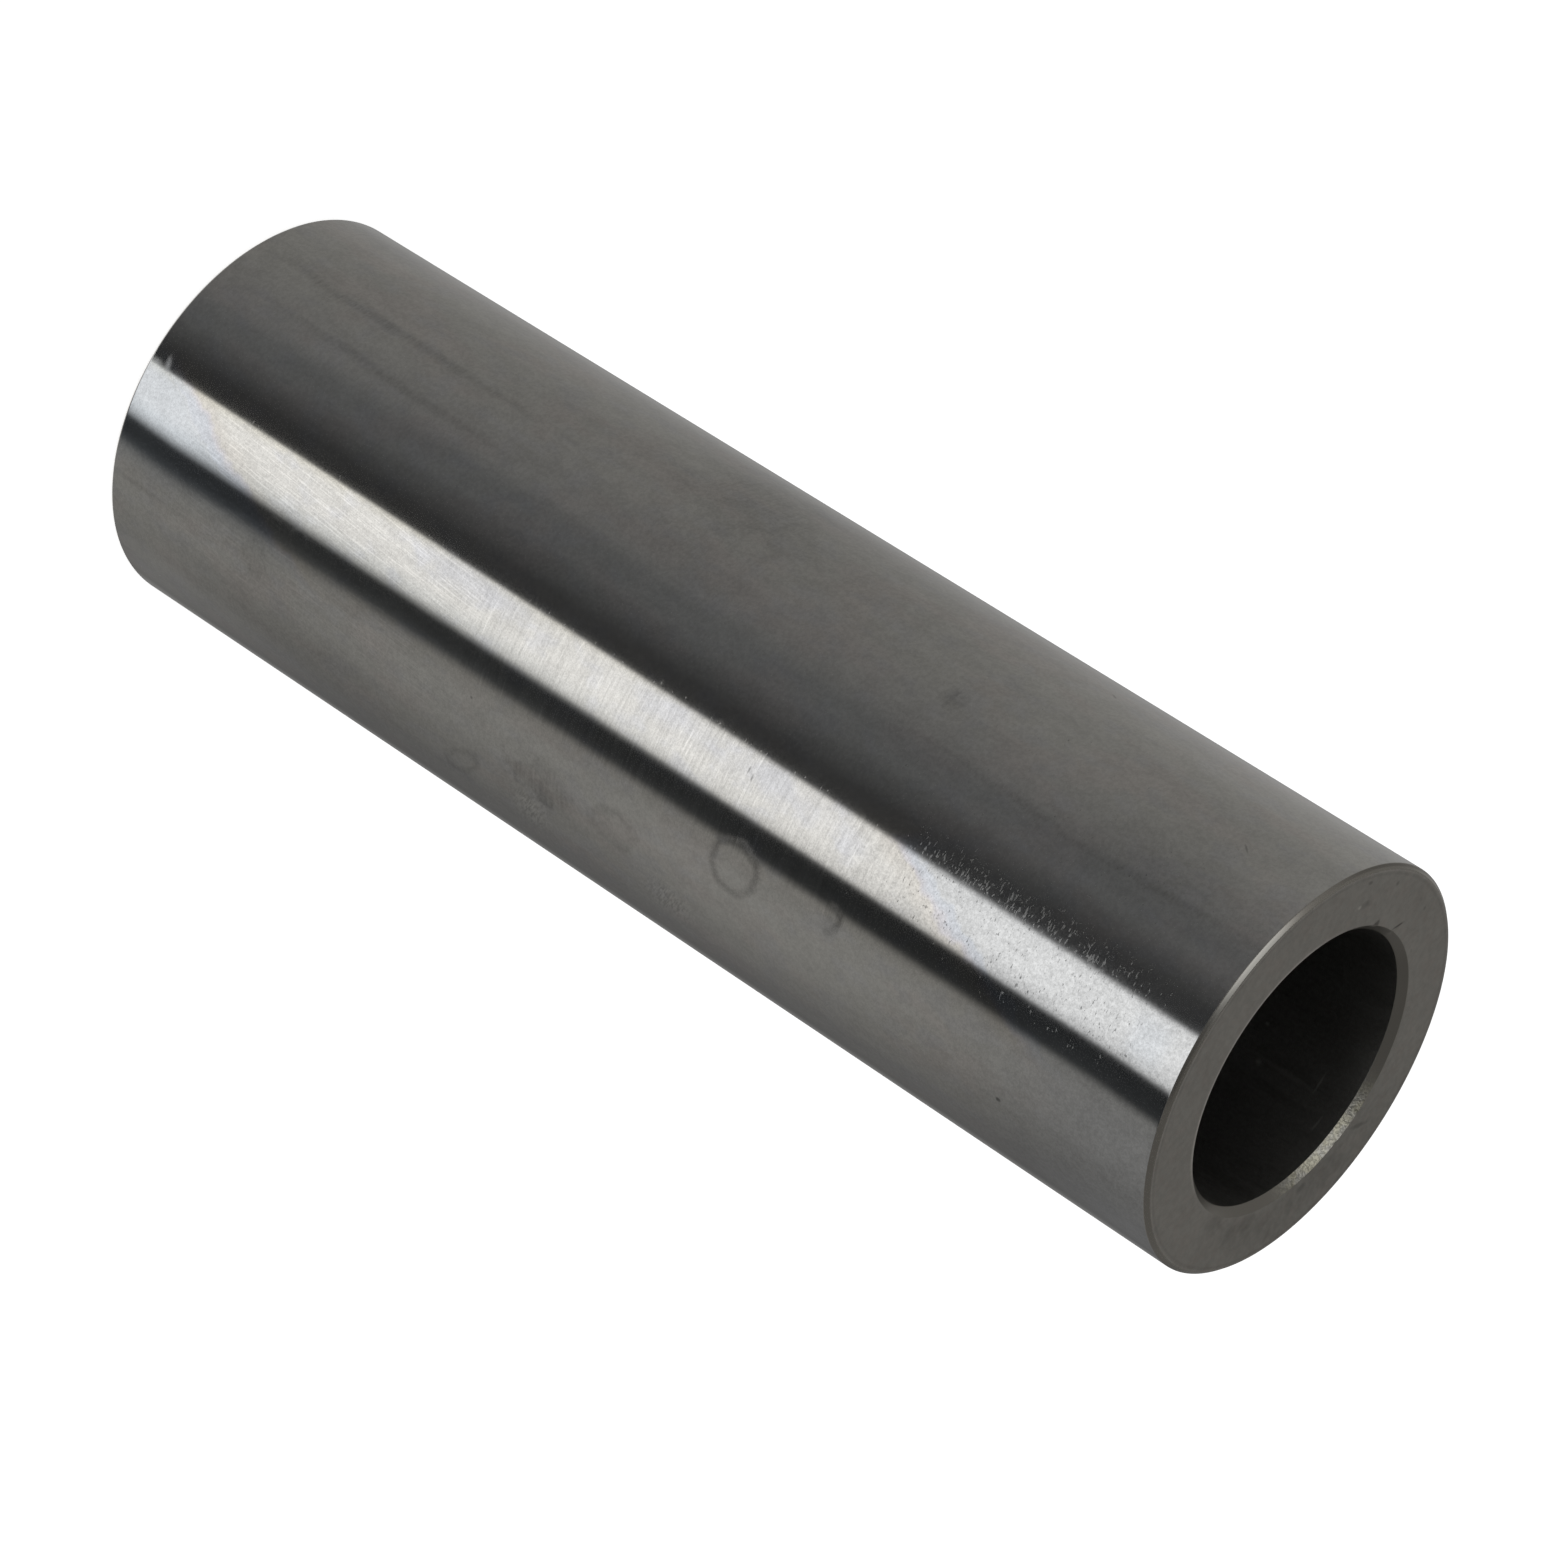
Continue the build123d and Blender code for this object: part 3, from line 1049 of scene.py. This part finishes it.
def tent_material(settings, centre):
    """Glow of the tent's cloth, by direction from the pin.

    Its walls and the strip light are softer low down. Above them is an even roof with one soft light in it,
    and below them, behind the pin, the glow of the table.
    """
    material = bpy.data.materials.new("tent_cloth")
    material.use_nodes = True
    material.cycles.emission_sampling = "NONE"
    material.node_tree.nodes.clear()
    graph = Graph(material.node_tree)
    out = graph.add("ShaderNodeOutputMaterial")
    from_centre = graph.vector("SUBTRACT", graph.add("ShaderNodeTexCoord").outputs["Object"], centre)
    direction = graph.vector("NORMALIZE", from_centre)
    x, y, z = graph.split(direction)
    turn = graph.maths("WRAP", graph.maths("DIVIDE", graph.maths("ARCTAN2", x, y), math.tau), 1.0, 0.0)
    elevation = graph.maths("ARCSINE", z)
    low_walls = round_ramp(graph, turn, LEFT_PANELS + LOW_STRIP + RIGHT_PANELS)
    high_walls = round_ramp(graph, turn, LEFT_PANELS + STRIP + RIGHT_PANELS)
    cloth = graph.mixed(graph.between(elevation, STRIP_SOFT, STRIP_SHARP), low_walls, high_walls)
    roof_share = graph.between(elevation, ROOF_STARTS, ROOF_COMPLETE)
    cloth = graph.mixed(roof_share, cloth, round_ramp(graph, turn, TENT_ROOF))
    floor_share = graph.between(elevation, FLOOR_COMPLETE, FLOOR_STARTS, 1.0, 0.0)
    floor_share = graph.times(floor_share, graph.between(y, *FLOOR_BEHIND))
    cloth = graph.mixed(floor_share, cloth, Vector(WHITE_CLOTH) * FLOOR_GLOW)
    off_centre = graph.maths("ARCCOSINE", graph.vector("DOT_PRODUCT", direction, OVERHEAD_DIRECTION))
    overhead = graph.between(off_centre, OVERHEAD_CORE, OVERHEAD_EDGE, settings.overhead_light, 0.0)
    walls = graph.add("ShaderNodeEmission", {"Color": cloth, "Strength": settings.tent_light})
    lamp = graph.add("ShaderNodeEmission", {"Strength": overhead})
    both = graph.add("ShaderNodeAddShader", {0: walls.outputs[0], 1: lamp.outputs[0]})
    graph.feed(out.inputs["Surface"], both.outputs[0])
    return material


def table_material(settings):
    """White acrylic, lit from below so that hardly a shadow shows on it."""
    material = bpy.data.materials.new("light_table")
    material.use_nodes = True
    shader = material.node_tree.nodes["Principled BSDF"]
    for label, value in (
        ("Base Color", opaque(settings.table_colour)),
        ("Roughness", 1.0),
        ("Specular IOR Level", 0.0),
        ("Emission Color", opaque(WHITE_CLOTH)),
        ("Emission Strength", settings.table_glow),
    ):
        shader.inputs[label].default_value = value
    material.cycles.emission_sampling = "NONE"
    return material


def stage_object(name, build, material):
    """A piece of the stage whose mesh is made by build(bmesh)."""
    mesh = bpy.data.meshes.new(name)
    shape = bmesh.new()
    build(shape)
    shape.to_mesh(mesh)
    shape.free()
    mesh.materials.append(material)
    piece = bpy.data.objects.new(name, mesh)
    bpy.context.scene.collection.objects.link(piece)
    return piece


def set_room(settings):
    """Even light on the table, and a white backdrop for the camera. Polished steel sees the tent instead."""
    world = bpy.data.worlds.new("studio_room")
    bpy.context.scene.world = world
    world.use_nodes = True
    graph = Graph(world.node_tree)
    background = world.node_tree.nodes["Background"]
    seen = graph.add("ShaderNodeLightPath").outputs["Is Camera Ray"]
    brightness = graph.between(seen, 0, 1, settings.room_light, settings.backdrop)
    graph.feed(background.inputs["Strength"], brightness)
    graph.feed(background.inputs["Color"], WHITE_CLOTH)
    world.cycles_visibility.glossy = False


def place_camera(settings):
    """Camera that looks along +Y and down at the pin, rolled so that the pin lies across the picture."""
    camera = bpy.data.objects.new("camera", bpy.data.cameras.new("camera"))
    bpy.context.scene.collection.objects.link(camera)
    camera.data.lens = settings.lens
    camera.data.clip_start = 0.01
    tilt = Matrix.Rotation(math.pi / 2 - settings.camera_elevation, 4, "X")
    roll = Matrix.Rotation(settings.camera_roll, 4, "Z")
    back = Matrix.Translation((0, 0, settings.camera_distance))
    camera.matrix_world = Matrix.Translation(settings.camera_aim) @ tilt @ roll @ back
    bpy.context.scene.camera = camera


class GUDGEON_OT_set_stage(bpy.types.Operator):
    """Set up the light table, the tent round it, the room's light and the camera"""

    bl_idname = "gudgeon.set_stage"
    bl_label = "Set the Stage"

    def execute(self, context):
        settings = context.scene.gudgeon_studio
        table = stage_object(
            "light_table",
            lambda shape: bmesh.ops.create_circle(shape, cap_ends=True, radius=TABLE_RADIUS, segments=96),
            table_material(settings),
        )
        table.visible_glossy = False
        centre = Vector((0, 0, context.scene.gudgeon_sizes.length / 2))
        around = Matrix.Translation(centre)
        tent = stage_object(
            "light_tent",
            lambda shape: bmesh.ops.create_uvsphere(
                shape, u_segments=96, v_segments=48, radius=TENT_RADIUS, matrix=around
            ),
            tent_material(settings, centre),
        )
        tent.visible_camera = tent.visible_diffuse = tent.visible_shadow = False
        set_room(settings)
        place_camera(settings)
        context.scene.view_settings.view_transform = "Standard"
        return {"FINISHED"}


class GUDGEON_PT_panel(bpy.types.Panel):
    """The pin's sizes, finishes and stage"""

    bl_label = "Gudgeon Pin"
    bl_idname = "GUDGEON_PT_panel"
    bl_space_type = "VIEW_3D"
    bl_region_type = "UI"
    bl_category = "Gudgeon Pin"

    def draw(self, context):
        scene = context.scene
        for settings, operator in (
            (scene.gudgeon_sizes, None),
            (scene.gudgeon_finish, GUDGEON_OT_turn_pin.bl_idname),
            (scene.gudgeon_studio, GUDGEON_OT_set_stage.bl_idname),
        ):
            column = self.layout.column(align=True)
            for name in type(settings).__annotations__:
                column.prop(settings, name)
            if operator:
                column.operator(operator)


CLASSES = (
    PinSizes, SteelFinish, StudioSettings, GUDGEON_OT_turn_pin, GUDGEON_OT_set_stage, GUDGEON_PT_panel
)


def register():
    for kind in CLASSES:
        bpy.utils.register_class(kind)
    bpy.types.Scene.gudgeon_sizes = PointerProperty(type=PinSizes)
    bpy.types.Scene.gudgeon_finish = PointerProperty(type=SteelFinish)
    bpy.types.Scene.gudgeon_studio = PointerProperty(type=StudioSettings)


def unregister():
    del bpy.types.Scene.gudgeon_studio
    del bpy.types.Scene.gudgeon_finish
    del bpy.types.Scene.gudgeon_sizes
    for kind in reversed(CLASSES):
        bpy.utils.unregister_class(kind)


def main():
    register()
    bpy.ops.gudgeon.turn_pin()
    bpy.ops.gudgeon.set_stage()


if __name__ == "__main__":
    main()
